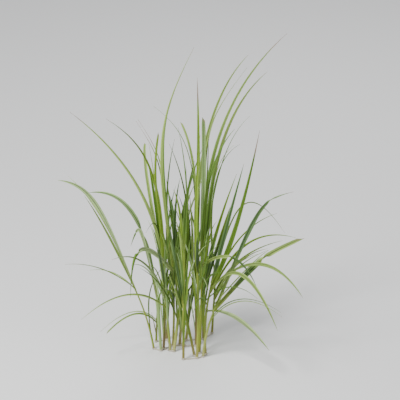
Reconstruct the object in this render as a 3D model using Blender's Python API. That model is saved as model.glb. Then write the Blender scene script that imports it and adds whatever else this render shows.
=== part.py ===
"""A clump of lemongrass, modelled in metres with +Z up.

Nineteen slender stalks grow from a low rhizome crown, and long narrow blades leave each stalk
near its top. The origin is on the floor, in the middle of the stalks' feet.
"""

import math
from collections import namedtuple
from itertools import product
from random import Random

import bmesh
import bpy
from mathutils import Vector
from mathutils.bvhtree import BVHTree

MM = 0.001

# How the clump is seen
VIEW_TILT = math.radians(22)
TOWARDS_VIEW = Vector((0, -math.cos(VIEW_TILT), math.sin(VIEW_TILT)))

# Stalks
STALK_SIDES = 8
STALK_RINGS = 6
STALK_POINT = 7 * MM
STALK_POINT_SHARE = 0.35

# Blades
BLADE_THICKNESS = 1.4 * MM
BLADE_FOLD = 0.16
BLADE_STEP = 52 * MM
BLADE_FEWEST_STEPS = 5
BLADE_MOST_STEPS = 11
BLADE_ROOT_SINK = 12 * MM
SHARE_BELOW = 0.02
SHARE_AHEAD = 0.01
BLADE_FORM = (0.55, 0.3, 1.6)
LATE_BLADE_FORM = (0.35, 0.6, 4.0)
BLADE_TAPER = 0.85
CUT_BLADE_TAPER = 0.4
ROLL_SPREAD = math.radians(18)
TWIST_SPREAD = math.radians(28)
STRAIGHT_BLADE_ACROSS = 124 * MM
STRAIGHT_BLADE_SHARE = 0.4

# Growing clear of one another
GROWTH_SEED = 7
BLADE_CLEARANCE = 0.8 * MM
DEPTH_SHIFTS = [0] + [side * step * 9 * MM for step in range(1, 12) for side in (1, -1)]
LOWEST_BLADE = 16 * MM

# Spare blades, which stand among the others and fill the clump
SPARE_BLADES = 32
SPARE_REACH = 70
SPARE_COLLAR = (0.45, 1.0)
SPARE_WIDTH = (6, 11)
SPARE_ACROSS = 48
SPARE_UP = (320, 490)
SPARE_DEPTH = 260
SPARE_UP_BY_DEPTH = 0.25
SPARE_SHOULDER_UP = (0.55, 0.75)
SPARE_SHOULDER_ACROSS = (0.1, 0.4)

# Crown
HEART_RADIUS = 9 * MM
KNOB_MARGIN = 2.8 * MM
KNOB_PROFILE = ((0.0, 0.95), (2.5, 1.0), (6.5, 0.8))
KNOB_SIDES = 8
RUNNER_PROFILE = ((-4.0, 0), (-2.6, 3.8), (2.6, 3.8), (4.0, 0))
RUNNER_STEP = 12 * MM
RUNNER_WAIST = 0.82
STALK_GAP = 0.3 * MM
SOCKET_REACH = 30 * MM
SOCKET_SHARE = 0.1

# A blade's shoulder and tip are given as seen from the front: millimetres across and up in the
# picture, and for a tip also its depth. The blade is drawn towards its shoulder by its pull. A cut
# blade has lost its tip and faces the view, and a late blade is widest past its middle.
Blade = namedtuple("Blade", "collar shoulder tip width pull cut late", defaults=(1, False, False))
Stalk = namedtuple("Stalk", "foot head bow foot_radius head_radius blades")

STALKS = [
    Stalk((-94, -21), (-158, 192, -45), 8, 3.6, 2.6, [
        Blade(1.0, (-277, 506), (-391, 517, -160), 16, 1.6, late=True),
        Blade(0.97, (-248, 384), (-310, 471, -40), 10),
        Blade(0.93, (-251, 440), (-360, 530, 50), 6),
        Blade(1.0, (-255, 268), (-366, 257, -300), 4),
        Blade(0.97, (-212, 250), (-294, 237, 80), 4),
        Blade(0.25, (-125, 190), (-47, 269, -100), 5, 1.5),
    ]),
    Stalk((-87, 36), (-82, 155, 40), 0, 3.6, 2.8, [
        Blade(0.93, (-119, 509), (-298, 478, 150), 16, late=True),
        Blade(0.55, (-150, 152), (-262, 44, 30), 4),
        Blade(0.5, (-145, 146), (-243, 39, -110), 7, 1, True),
        Blade(0.2, (-93, 75), (-102, 107, 20), 4),
    ]),
    Stalk((-72, -36), (-83, 150, -55), 0, 4.2, 6.6, [
        Blade(1.0, (-137, 400), (-166, 310, -30), 13, 3, late=True),
        Blade(0.98, (-71, 174), (-60, 206, -90), 5),
    ]),
    Stalk((-64, -21), (-62, 245, -30), 4, 4.4, 3.4, [
        Blade(0.95, (-85, 531), (-355, 729, -80), 12),
        Blade(1.0, (-134, 584), (-120, 632, 50), 12, 1, True),
        Blade(0.9, (-70, 604), (-242, 707, -190), 10, 1.5),
        Blade(0.98, (-81, 430), (-118, 353, -120), 5, 1.5),
        Blade(0.97, (-94, 508), (-113, 580, 0), 13),
    ]),
    Stalk((-55, 50), (-40, 264, 80), 0, 3.8, 3.0, [
        Blade(0.97, (-70, 583), (-152, 705, 200), 5, 3),
        Blade(1.0, (-65, 589), (-146, 710, 260), 5, 3),
        Blade(1.0, (-112, 490), (-78, 668, 140), 10, 1, True),
        Blade(0.95, (-71, 471), (-29, 645, 50), 8),
    ]),
    Stalk((-43, -37), (-64, 233, -60), 0, 4.6, 3.4, [
        Blade(0.58, (-165, 222), (-319, 84, -240), 8),
        Blade(0.7, (-115, 316), (-223, 271, -270), 7),
        Blade(0.62, (-105, 276), (-164, 253, -150), 5),
        Blade(1.0, (-74, 440), (-109, 632, -10), 6),
    ]),
    Stalk((-32, -42), (2, 239, -36), 0, 5.4, 3.6, [
        Blade(0.42, (-59, 208), (-136, 245, -190), 6),
        Blade(1.0, (40, 446), (-47, 632, -80), 8),
        Blade(0.97, (28, 487), (-19, 682, 40), 7),
        Blade(0.38, (-26, 200), (-27, 352, 0), 8),
    ]),
    Stalk((-14, 7), (-23, 264, 20), 8, 4.6, 3.6, [
        Blade(0.95, (-40, 409), (-12, 524, 80), 12),
        Blade(0.92, (-12, 425), (37, 512, 0), 12),
        Blade(0.9, (-9, 388), (62, 529, 60), 11),
        Blade(1.0, (-38, 430), (-56, 524, 160), 11),
        Blade(1.0, (-28, 420), (-44, 470, 90), 12),
    ]),
    Stalk((-2, -108), (0, 313, -85), 0, 4.2, 3.4, [
        Blade(0.95, (-6, 357), (-28, 384, -160), 5),
        Blade(1.0, (0, 471), (34, 580, -90), 13),
    ]),
    Stalk((6, 46), (37, 285, 60), 0, 4.4, 3.6, [
        Blade(1.0, (50, 564), (41, 837, 80), 16),
        Blade(0.93, (47, 642), (-96, 748, 200), 4, 1.6),
        Blade(0.97, (54, 577), (-11, 700, 160), 10, 1, True),
        Blade(0.98, (31, 740), (202, 908, 140), 13),
    ]),
    Stalk((32, -79), (-36, 254, -56), 4, 4.4, 3.4, [
        Blade(1.0, (-98, 676), (34, 932, 0), 13, 2),
        Blade(0.93, (-83, 625), (-38, 768, -90), 6, 1.5),
        Blade(0.96, (-9, 465), (59, 620, 70), 12),
        Blade(0.95, (-161, 388), (-165, 152, -220), 13, 1.3, late=True),
    ]),
    Stalk((36, 2), (25, 245, 10), 6, 4.2, 3.6, [
        Blade(1.0, (28, 378), (17, 474, 30), 9),
        Blade(0.95, (9, 409), (6, 564, 120), 10),
        Blade(0.98, (1, 358), (-33, 449, -60), 7),
    ]),
    Stalk((40, -99), (39, 264, -90), 5, 4.4, 3.6, [
        Blade(1.0, (31, 456), (50, 657, -120), 15),
    ]),
    Stalk((47, -55), (54, 295, -40), 3, 4.6, 3.8, [
        Blade(1.0, (65, 502), (60, 715, -10), 19, 1, True),
        Blade(0.9, (161, 335), (226, 183, -230), 13),
        Blade(0.97, (74, 487), (76, 657, -80), 8),
        Blade(0.98, (55, 569), (158, 676, -80), 11),
        Blade(0.5, (134, 234), (229, 149, -200), 5),
    ]),
    Stalk((59, -87), (102, 133, -100), -8, 4.0, 3.2, [
        Blade(1.0, (237, 457), (341, 482, -180), 17, 3),
        Blade(0.95, (242, 284), (375, 342, -150), 20, 3, True),
        Blade(0.8, (165, 200), (301, 107, -260), 4),
        Blade(0.75, (173, 199), (304, 93, -340), 4),
    ]),
    Stalk((67, -66), (90, 208, -60), -11, 4.4, 3.6, [
        Blade(1.0, (127, 357), (186, 570, -40), 16),
        Blade(0.97, (168, 334), (234, 673, -140), 18),
        Blade(0.63, (163, 128), (265, -12, -275), 15, late=True),
        Blade(0.93, (247, 350), (369, 151, -270), 14, late=True),
        Blade(0.7, (50, 195), (22, 81, -260), 5),
        Blade(0.85, (174, 341), (290, 50, -320), 14, late=True),
    ]),
    Stalk((60, 56), (68, 233, 70), -3, 4.2, 3.4, [
        Blade(1.0, (28, 715), (321, 973, 160), 14),
        Blade(0.97, (64, 695), (260, 854, 80), 14),
        Blade(0.93, (58, 688), (200, 873, 260), 6, 3),
        Blade(0.88, (80, 612), (205, 716, 10), 4),
        Blade(0.85, (84, 330), (164, 539, 0), 15),
        Blade(0.8, (125, 384), (144, 437, -40), 12),
    ]),
    Stalk((87, 103), (98, 223, 115), 0, 3.8, 3.0, [
        Blade(1.0, (54, 567), (174, 629, 270), 5),
        Blade(0.97, (50, 549), (155, 626, 190), 5),
        Blade(0.95, (168, 579), (316, 350, 260), 6, 1.2),
        Blade(0.9, (158, 374), (291, 415, 110), 7),
        Blade(0.86, (188, 388), (350, 337, 10), 9),
        Blade(0.55, (230, 287), (267, 301, 60), 5),
        Blade(0.75, (158, 299), (306, 330, -70), 9),
        Blade(0.65, (156, 288), (260, 305, -80), 8),
        Blade(0.6, (150, 262), (262, 300, -20), 6),
        Blade(0.7, (140, 262), (228, 288, 40), 6),
    ]),
    Stalk((-35, -3), (-36, 245, -10), 4, 4.0, 3.2, [
        Blade(1.0, (-53, 301), (-57, 375, -20), 8),
        Blade(0.95, (-28, 400), (-25, 460, -60), 9),
    ]),
]


def start_empty():
    """Remove what the scene holds."""
    for old in list(bpy.data.objects):
        bpy.data.objects.remove(old, do_unlink=True)


def plant_material(name, colour, roughness):
    """One matt plant surface."""
    material = bpy.data.materials.new(name)
    material.use_nodes = True
    surface = material.node_tree.nodes["Principled BSDF"]
    surface.inputs["Base Color"].default_value = (*colour, 1)
    surface.inputs["Roughness"].default_value = roughness
    surface.inputs["Metallic"].default_value = 0
    return material


def place(across, up, depth):
    """A real point from where it is seen in the picture and how far back it is, in millimetres."""
    height = (up - depth * math.sin(VIEW_TILT)) / math.cos(VIEW_TILT)
    return Vector((across, depth, height)) * MM


def along(start, pull_to, end, pull, share):
    """A point on the smooth curve from start to end, drawn towards pull_to."""
    first = (1 - share) ** 2
    middle = 2 * pull * share * (1 - share)
    last = share ** 2
    return (first * start + middle * pull_to + last * end) / (first + middle + last)


def stalk_line(stalk):
    """The three points that bend a stalk's axis from its foot to its head."""
    foot = Vector((*stalk.foot, 0)) * MM
    head = place(*stalk.head)
    middle = (foot + head) / 2 + Vector((2 * stalk.bow, 0, 0)) * MM
    return foot, middle, head


def stalk_point(stalk, share):
    """A point on a stalk's axis."""
    foot, middle, head = stalk_line(stalk)
    return along(foot, middle, head, 1, share)


def loft(name, rings, end_point=None, triangles=False):
    """One closed mesh through equal rings of points, its last ring flat or drawn to a point."""
    shape = bmesh.new()
    rows = [[shape.verts.new(point) for point in ring] for ring in rings]
    sides = len(rows[0])
    shape.faces.new(reversed(rows[0]))
    for lower, upper in zip(rows, rows[1:]):
        for side in range(sides):
            after = (side + 1) % sides
            corners = (lower[side], lower[after], upper[after], upper[side])
            if not triangles:
                shape.faces.new(corners)
            elif side % 2:
                shape.faces.new((corners[1], corners[2], corners[3]))
                shape.faces.new((corners[3], corners[0], corners[1]))
            else:
                shape.faces.new((corners[0], corners[1], corners[2]))
                shape.faces.new((corners[2], corners[3], corners[0]))
    if end_point is None:
        shape.faces.new(rows[-1])
    else:
        point = shape.verts.new(end_point)
        for side in range(sides):
            shape.faces.new((rows[-1][side], rows[-1][(side + 1) % sides], point))
    bmesh.ops.recalc_face_normals(shape, faces=shape.faces)
    mesh = bpy.data.meshes.new(name)
    shape.to_mesh(mesh)
    shape.free()
    return mesh


def level_ring(centre, radius, sides):
    """Points of a level ring round a centre."""
    turns = [2 * math.pi * side / sides for side in range(sides)]
    return [centre + radius * Vector((math.cos(turn), math.sin(turn), 0)) for turn in turns]


def stalk_mesh(stalk):
    """A stalk of wrapped sheaths: flat at its foot, slimmer upwards and drawn in at its head."""
    rings = []
    for step in range(STALK_RINGS + 1):
        share = step / STALK_RINGS
        radius = stalk.foot_radius + (stalk.head_radius - stalk.foot_radius) * share
        rings.append(level_ring(stalk_point(stalk, share), radius * MM, STALK_SIDES))
    head = stalk_point(stalk, 1) + Vector((0, 0, STALK_POINT))
    rings.append(level_ring(head, stalk.head_radius * STALK_POINT_SHARE * MM, STALK_SIDES))
    return loft("stalk", rings)


def blade_line(stalk, blade, tip_shift=0, shoulder_shift=0):
    """The three points that bend a blade, from inside its stalk to its tip."""
    collar = stalk_point(stalk, blade.collar)
    below = stalk_point(stalk, blade.collar - SHARE_BELOW)
    root = collar - (collar - below).normalized() * BLADE_ROOT_SINK
    across, up, depth = blade.tip
    tip = place(across, up, depth + tip_shift / MM)
    share = STRAIGHT_BLADE_SHARE
    if abs(tip.x - root.x) > STRAIGHT_BLADE_ACROSS:
        share = (blade.shoulder[0] * MM - root.x) / (tip.x - root.x)
    share = max(0, min(1, share))
    shoulder_depth = root.y + share * (tip.y - root.y) + shoulder_shift
    return root, place(*blade.shoulder, shoulder_depth / MM), tip


def blade_width(blade, share):
    """A blade's width: narrow where it leaves the stalk, full past that, and fine at its tip."""
    root, full_at, taper_start = LATE_BLADE_FORM if blade.late else BLADE_FORM
    opened = min(1, root + (1 - root) * share / full_at)
    taper = 1 - CUT_BLADE_TAPER * share if blade.cut else (1 - share ** taper_start) ** BLADE_TAPER
    return blade.width * MM * opened * taper


def blade_mesh(line, blade, roll, twist, margin=0):
    """A thin folded blade along its line, with both faces split into triangles alike."""
    length = (line[1] - line[0]).length + (line[2] - line[1]).length
    steps = max(BLADE_FEWEST_STEPS, min(BLADE_MOST_STEPS, round(length / BLADE_STEP)))
    rings = []
    for step in range(steps + 1 if blade.cut else steps):
        share = step / steps
        centre = along(*line, blade.pull, share)
        ahead = (along(*line, blade.pull, share + SHARE_AHEAD) - centre).normalized()
        side = ahead.cross(TOWARDS_VIEW).normalized()
        face = side.cross(ahead)
        turn = roll + twist * share
        side, face = (
            side * math.cos(turn) + face * math.sin(turn),
            face * math.cos(turn) - side * math.sin(turn),
        )
        half = blade_width(blade, share) / 2 + margin
        lift = face * half * 2 * BLADE_FOLD
        thick = face * (BLADE_THICKNESS / 2 + margin)
        rings.append([
            centre - side * half + lift,
            centre - thick,
            centre + side * half + lift,
            centre + thick,
        ])
    point = None if blade.cut else line[2]
    return loft("blade", rings, point, triangles=True)


def tree_of(meshes):
    """A search tree over the triangles of several meshes."""
    points = []
    faces = []
    for mesh in meshes:
        first = len(points)
        points.extend(vertex.co.copy() for vertex in mesh.vertices)
        faces.extend([first + index for index in face.vertices] for face in mesh.polygons)
    return BVHTree.FromPolygons(points, faces)


def grown_blade(stalk, blade, roll, twist, others):
    """The blade at the least change of depth that keeps it clear of what grows beside it."""
    shifts = sorted(product(DEPTH_SHIFTS, DEPTH_SHIFTS), key=lambda pair: abs(pair[0]) + abs(pair[1]))
    for tip_shift, shoulder_shift in shifts:
        line = blade_line(stalk, blade, tip_shift, shoulder_shift)
        wide = blade_mesh(line, blade, roll, twist, BLADE_CLEARANCE)
        low = min(vertex.co.z for vertex in wide.vertices) < LOWEST_BLADE
        crosses = others.overlap(tree_of([wide]))
        bpy.data.meshes.remove(wide)
        if not low and not crosses:
            return blade_mesh(line, blade, roll, twist)
    return None


def spare_blade(stalk, chance):
    """A steep blade that stands close over its own stalk."""
    across = stalk.head[0] + chance.uniform(-SPARE_ACROSS, SPARE_ACROSS)
    depth = stalk.head[2] + chance.uniform(-SPARE_DEPTH, SPARE_DEPTH)
    up = chance.uniform(*SPARE_UP) + depth * SPARE_UP_BY_DEPTH
    towards_tip = chance.uniform(*SPARE_SHOULDER_ACROSS)
    shoulder = (
        stalk.head[0] + (across - stalk.head[0]) * towards_tip,
        stalk.head[1] + (up - stalk.head[1]) * chance.uniform(*SPARE_SHOULDER_UP),
    )
    width = chance.uniform(*SPARE_WIDTH)
    return Blade(chance.uniform(*SPARE_COLLAR), shoulder, (across, up, depth), width)


def grown_clump():
    """Each stalk's own meshes, its stalk first and then its blades."""
    clump = [[stalk_mesh(stalk)] for stalk in STALKS]
    chance = Random(GROWTH_SEED)
    buds = [(number, blade) for number, stalk in enumerate(STALKS) for blade in stalk.blades]
    inner = [number for number, stalk in enumerate(STALKS) if abs(stalk.head[0]) < SPARE_REACH]
    for spare in range(SPARE_BLADES):
        number = inner[spare % len(inner)]
        buds.append((number, spare_blade(STALKS[number], chance)))
    for number, blade in buds:
        roll = chance.uniform(-ROLL_SPREAD, ROLL_SPREAD)
        twist = chance.uniform(-TWIST_SPREAD, TWIST_SPREAD)
        if blade.cut:
            roll = twist = 0
        others = [mesh for owner, grown in enumerate(clump) if owner != number for mesh in grown]
        mesh = grown_blade(STALKS[number], blade, roll, twist, tree_of(others))
        if mesh:
            clump[number].append(mesh)
    return clump


def add_object(name, mesh, collection=None):
    """An object for a mesh, in the scene or in a collection of helpers."""
    thing = bpy.data.objects.new(name, mesh)
    (collection or bpy.context.scene.collection).objects.link(thing)
    return thing


def keep_outside(thing):
    """Fill hollows that joined blades close off, and drop loose scraps."""
    shape = bmesh.new()
    shape.from_mesh(thing.data)
    unseen = set(shape.faces)
    shells = []
    while unseen:
        shell = set()
        edge_of_shell = [unseen.pop()]
        while edge_of_shell:
            face = edge_of_shell.pop()
            shell.add(face)
            beside = {near for edge in face.edges for near in edge.link_faces} & unseen
            unseen -= beside
            edge_of_shell.extend(beside)
        shells.append(shell)
    outside = max(shells, key=lambda shell: sum(face.calc_area() for face in shell))
    rest = [face for face in shape.faces if face not in outside]
    bmesh.ops.delete(shape, geom=rest, context="FACES")
    shape.to_mesh(thing.data)
    shape.free()


def combine(thing, operation, meshes):
    """Join meshes to an object, or cut them out of it, and keep only the result."""
    helpers = bpy.data.collections.new("helpers")
    bpy.context.scene.collection.children.link(helpers)
    for mesh in meshes:
        helper = add_object("helper", mesh, helpers)
        helper.hide_render = True
        helper.display_type = "WIRE"
    boolean = thing.modifiers.new("combine", "BOOLEAN")
    boolean.operation = operation
    boolean.operand_type = "COLLECTION"
    boolean.collection = helpers
    boolean.solver = "MANIFOLD"
    with bpy.context.temp_override(object=thing, active_object=thing):
        bpy.ops.object.modifier_apply(modifier=boolean.name)
    for helper in list(helpers.objects):
        bpy.data.objects.remove(helper, do_unlink=True)
    bpy.data.collections.remove(helpers)
    keep_outside(thing)


def add_stalks(clump, material):
    """One object for each leafy stalk, its blades joined to it."""
    for number, (stalk, *blades) in enumerate(clump, 1):
        thing = add_object(f"stalk_{number:02}", stalk)
        thing.data.materials.append(material)
        combine(thing, "UNION", blades)


def knob_mesh(foot, radius):
    """A low knob of the crown, flat below."""
    rings = [
        level_ring(foot + Vector((0, 0, height * MM)), radius * share, KNOB_SIDES)
        for height, share in KNOB_PROFILE
    ]
    return loft("knob", rings)


def runner_mesh(start, end):
    """A short ringed length of rhizome between two feet, flat below."""
    way = end - start
    across = Vector((-way.y, way.x, 0)).normalized()
    steps = 2 * max(1, round(way.length / RUNNER_STEP / 2))
    rings = []
    for step in range(steps + 1):
        size = RUNNER_WAIST if step % 2 else 1
        centre = start + way * step / steps
        rings.append([
            centre + (across * side + Vector((0, 0, height))) * MM * size
            for side, height in RUNNER_PROFILE
        ])
    return loft("runner", rings)


def nearest_links(places):
    """The shortest set of links that joins all the places."""
    joined = {0}
    links = []
    while len(joined) < len(places):
        pairs = [(a, b) for a in joined for b in range(len(places)) if b not in joined]
        link = min(pairs, key=lambda pair: (places[pair[0]] - places[pair[1]]).length)
        joined.add(link[1])
        links.append(link)
    return links


def socket_mesh(stalk):
    """The room that a stalk's foot takes, with the gap that the crown keeps to it."""
    foot = stalk_point(stalk, 0)
    above = stalk_point(stalk, SOCKET_SHARE)
    slope = (above - foot) / (above - foot).z
    radius = stalk.foot_radius * MM + STALK_GAP
    ends = (foot - slope * SOCKET_REACH, foot + slope * SOCKET_REACH)
    return loft("socket", [level_ring(end, radius, STALK_SIDES) for end in ends])


def add_crown(material):
    """The rhizome crown: an old heart, a knob and socket for each stalk, and runners between."""
    heart = Vector((0, 0, 0))
    feet = [Vector((*stalk.foot, 0)) * MM for stalk in STALKS]
    knobs = [
        knob_mesh(foot, stalk.foot_radius * MM + KNOB_MARGIN)
        for foot, stalk in zip(feet, STALKS)
    ]
    places = [heart] + feet
    runners = [runner_mesh(places[a], places[b]) for a, b in nearest_links(places)]
    crown = add_object("crown", knob_mesh(heart, HEART_RADIUS))
    crown.data.materials.append(material)
    combine(crown, "UNION", knobs + runners)
    combine(crown, "DIFFERENCE", [socket_mesh(stalk) for stalk in STALKS])


start_empty()
add_stalks(grown_clump(), plant_material("green stalk", (0.24, 0.36, 0.10), 0.5))
add_crown(plant_material("rhizome", (0.42, 0.32, 0.17), 0.75))
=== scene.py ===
import math
from collections import namedtuple
from itertools import product
from random import Random

import bpy
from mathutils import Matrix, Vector
from mathutils.bvhtree import BVHTree


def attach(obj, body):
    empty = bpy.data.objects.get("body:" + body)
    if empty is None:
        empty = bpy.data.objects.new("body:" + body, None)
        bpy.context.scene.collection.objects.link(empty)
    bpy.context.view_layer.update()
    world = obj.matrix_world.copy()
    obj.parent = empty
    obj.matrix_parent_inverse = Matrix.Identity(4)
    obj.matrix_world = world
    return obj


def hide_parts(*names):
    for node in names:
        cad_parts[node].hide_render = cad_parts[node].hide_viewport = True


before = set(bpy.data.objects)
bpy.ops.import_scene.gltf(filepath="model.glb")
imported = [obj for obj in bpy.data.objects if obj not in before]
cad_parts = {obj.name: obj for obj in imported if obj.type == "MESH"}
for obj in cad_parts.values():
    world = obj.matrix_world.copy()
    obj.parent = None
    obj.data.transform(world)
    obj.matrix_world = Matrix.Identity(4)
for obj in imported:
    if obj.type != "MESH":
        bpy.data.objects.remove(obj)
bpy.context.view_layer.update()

# How the clump stands
# Nineteen stalks grow together from one crown. Each has its foot on the ground, a head where
# its sheaths end, and blades that leave it at their collars.
MM = 0.001
VIEW_TILT = math.radians(22)
TOWARDS_VIEW = Vector((0, -math.cos(VIEW_TILT), math.sin(VIEW_TILT)))

Blade = namedtuple("Blade", "look collar shoulder tip width pull cut late", defaults=(1, False, False))
Stalk = namedtuple("Stalk", "foot head bow foot_radius head_radius blades")

# All in millimetres. A foot has its place across and back. Heads, shoulders and tips are as seen
# from the front, across and up, and a head and a tip also have their depth. A collar is a share
# of the way up its stalk, and pull is how far the shoulder draws the blade out. A cut blade has
# lost its tip, and a late one is widest past its middle.
STALKS = [
    Stalk((-94, -21), (-158, 192, -45), 8, 3.6, 2.6, [
        Blade("frosty", 1.0, (-277, 506), (-391, 517, -160), 16, 1.6, late=True),
        Blade("pale", 0.97, (-248, 384), (-310, 471, -40), 10),
        Blade("pale", 0.93, (-251, 440), (-360, 530, 50), 6),
        Blade("pale", 1.0, (-255, 268), (-366, 257, -300), 4),
        Blade("pale", 0.97, (-212, 250), (-294, 237, 80), 4),
        Blade("olive", 0.25, (-125, 190), (-47, 269, -100), 5, 1.5),
    ]),
    Stalk((-87, 36), (-82, 155, 40), 0, 3.6, 2.8, [
        Blade("cool", 0.93, (-119, 509), (-298, 478, 150), 16, late=True),
        Blade("pale", 0.55, (-150, 152), (-262, 44, 30), 4),
        Blade("pale", 0.5, (-145, 146), (-243, 39, -110), 7, 1, True),
        Blade("dry", 0.2, (-93, 75), (-102, 107, 20), 4),
    ]),
    Stalk((-72, -36), (-83, 150, -55), 0, 4.2, 6.6, [
        Blade("frosty", 1.0, (-137, 400), (-166, 310, -30), 13, 3, late=True),
        Blade("fresh", 0.98, (-71, 174), (-60, 206, -90), 5),
    ]),
    Stalk((-64, -21), (-62, 245, -30), 4, 4.4, 3.4, [
        Blade("pale", 0.95, (-85, 531), (-355, 729, -80), 12),
        Blade("pale", 1.0, (-134, 584), (-120, 632, 50), 12, 1, True),
        Blade("bright", 0.9, (-70, 604), (-242, 707, -190), 10, 1.5),
        Blade("olive", 0.98, (-81, 430), (-118, 353, -120), 5, 1.5),
        Blade("grass", 0.97, (-94, 508), (-113, 580, 0), 13),
    ]),
    Stalk((-55, 50), (-40, 264, 80), 0, 3.8, 3.0, [
        Blade("bright", 0.97, (-70, 583), (-152, 705, 200), 5, 3),
        Blade("bright", 1.0, (-65, 589), (-146, 710, 260), 5, 3),
        Blade("bright", 1.0, (-112, 490), (-78, 668, 140), 10, 1, True),
        Blade("olive", 0.95, (-71, 471), (-29, 645, 50), 8),
    ]),
    Stalk((-43, -37), (-64, 233, -60), 0, 4.6, 3.4, [
        Blade("pale", 0.58, (-165, 222), (-319, 84, -240), 8),
        Blade("frosty", 0.7, (-115, 316), (-223, 271, -270), 9),
        Blade("frosty", 0.62, (-105, 276), (-164, 253, -150), 6),
        Blade("bright", 1.0, (-74, 440), (-109, 632, -10), 6),
    ]),
    Stalk((-32, -42), (2, 239, -36), 0, 5.4, 3.6, [
        Blade("olive", 0.42, (-59, 208), (-136, 245, -190), 6),
        Blade("olive", 1.0, (40, 446), (-47, 632, -80), 8),
        Blade("fresh", 0.97, (28, 487), (-19, 682, 40), 7),
        Blade("pale", 0.38, (-26, 200), (-27, 352, 0), 8),
    ]),
    Stalk((-14, 7), (-23, 264, 20), 8, 4.6, 3.6, [
        Blade("deep", 0.95, (-40, 409), (-12, 524, 80), 12),
        Blade("frosty", 0.92, (-12, 425), (37, 512, 0), 12),
        Blade("frosty", 0.9, (-9, 388), (62, 529, 60), 11),
        Blade("fresh", 1.0, (-38, 430), (-56, 524, 160), 11),
        Blade("bluish", 1.0, (-28, 420), (-44, 470, 90), 12),
    ]),
    Stalk((-2, -108), (0, 313, -85), 0, 4.2, 3.4, [
        Blade("pale", 0.95, (-6, 357), (-28, 384, -160), 5),
        Blade("fresh", 1.0, (0, 471), (34, 580, -90), 13),
    ]),
    Stalk((6, 46), (37, 285, 60), 0, 4.4, 3.6, [
        Blade("bright", 1.0, (50, 564), (41, 837, 80), 16),
        Blade("fresh", 0.93, (47, 642), (-96, 748, 200), 4, 1.6),
        Blade("pale", 0.97, (54, 577), (-11, 700, 160), 10, 1, True),
        Blade("pale", 0.98, (31, 740), (202, 908, 140), 13),
    ]),
    Stalk((32, -79), (-36, 254, -56), 4, 4.4, 3.4, [
        Blade("pale", 1.0, (-98, 676), (34, 932, 0), 13, 2),
        Blade("fresh", 0.93, (-83, 625), (-38, 768, -90), 6, 1.5),
        Blade("fresh", 0.96, (-9, 465), (59, 620, 70), 12),
        Blade("frosty", 0.95, (-161, 388), (-165, 152, -220), 18, 1.3),
    ]),
    Stalk((36, 2), (25, 245, 10), 6, 4.2, 3.6, [
        Blade("pale", 1.0, (28, 378), (17, 474, 30), 9),
        Blade("deep", 0.95, (9, 409), (6, 564, 120), 10),
        Blade("pale", 0.98, (1, 358), (-33, 449, -60), 7),
    ]),
    Stalk((40, -99), (39, 264, -90), 5, 4.4, 3.6, [
        Blade("bright", 1.0, (31, 456), (50, 657, -120), 15),
    ]),
    Stalk((47, -55), (54, 295, -40), 3, 4.6, 3.8, [
        Blade("cool", 1.0, (65, 502), (60, 715, -10), 19, 1, True),
        Blade("pale", 0.9, (161, 335), (226, 183, -230), 13),
        Blade("olive", 0.97, (74, 487), (76, 657, -80), 8),
        Blade("fresh", 0.98, (55, 569), (158, 676, -80), 11),
        Blade("fresh", 0.5, (134, 234), (229, 149, -200), 5),
    ]),
    Stalk((59, -87), (102, 133, -100), -8, 4.0, 3.2, [
        Blade("bluish", 1.0, (237, 457), (341, 482, -180), 17, 3),
        Blade("pale", 0.95, (242, 284), (375, 342, -150), 20, 3, True),
        Blade("fresh", 0.8, (165, 200), (301, 107, -260), 4),
        Blade("pale", 0.75, (173, 199), (304, 93, -340), 4),
    ]),
    Stalk((67, -66), (90, 208, -60), -11, 4.4, 3.6, [
        Blade("bluish", 1.0, (127, 357), (186, 570, -40), 16),
        Blade("grass", 0.97, (168, 334), (234, 673, -140), 18),
        Blade("frosty", 0.63, (163, 128), (265, -12, -275), 15, late=True),
        Blade("pale", 0.93, (247, 350), (369, 151, -270), 14, late=True),
        Blade("fresh", 0.7, (50, 195), (22, 81, -260), 5),
        Blade("pale", 0.85, (174, 341), (290, 50, -320), 14, late=True),
    ]),
    Stalk((60, 56), (68, 233, 70), -3, 4.2, 3.4, [
        Blade("pale", 1.0, (28, 715), (321, 973, 160), 14),
        Blade("pale", 0.97, (64, 695), (260, 854, 80), 14),
        Blade("pale", 0.93, (58, 688), (200, 873, 260), 6, 3),
        Blade("fresh", 0.88, (80, 612), (205, 716, 10), 4),
        Blade("bright", 0.85, (84, 330), (164, 539, 0), 15),
        Blade("bright", 0.8, (125, 384), (144, 437, -40), 12),
    ]),
    Stalk((87, 103), (98, 223, 115), 0, 3.8, 3.0, [
        Blade("fresh", 1.0, (54, 567), (174, 629, 270), 5),
        Blade("pale", 0.97, (50, 549), (155, 626, 190), 5),
        Blade("bright", 0.95, (168, 579), (316, 350, 260), 6, 1.2),
        Blade("bright", 0.9, (158, 374), (291, 415, 110), 7),
        Blade("bright", 0.86, (188, 388), (350, 337, 10), 9),
        Blade("pale", 0.55, (230, 287), (267, 301, 60), 5),
        Blade("pale", 0.75, (158, 299), (306, 330, -70), 9),
        Blade("pale", 0.65, (156, 288), (260, 305, -80), 8),
        Blade("pale", 0.6, (150, 262), (262, 300, -20), 6),
        Blade("pale", 0.7, (140, 262), (228, 288, 40), 6),
    ]),
    Stalk((-35, -3), (-36, 245, -10), 4, 4.0, 3.2, [
        Blade("pale", 1.0, (-53, 301), (-57, 375, -20), 8),
        Blade("deep", 0.95, (-28, 400), (-25, 460, -60), 9),
    ]),
]


def place(across, up, depth):
    """A real point from where it is seen in the picture and how far back it is, in millimetres."""
    height = (up - depth * math.sin(VIEW_TILT)) / math.cos(VIEW_TILT)
    return Vector((across, depth, height)) * MM


def along(start, pull_to, end, pull, share):
    """A point on the smooth curve from start to end, drawn towards pull_to."""
    first = (1 - share) ** 2
    middle = 2 * pull * share * (1 - share)
    last = share ** 2
    return (first * start + middle * pull_to + last * end) / (first + middle + last)


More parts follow.
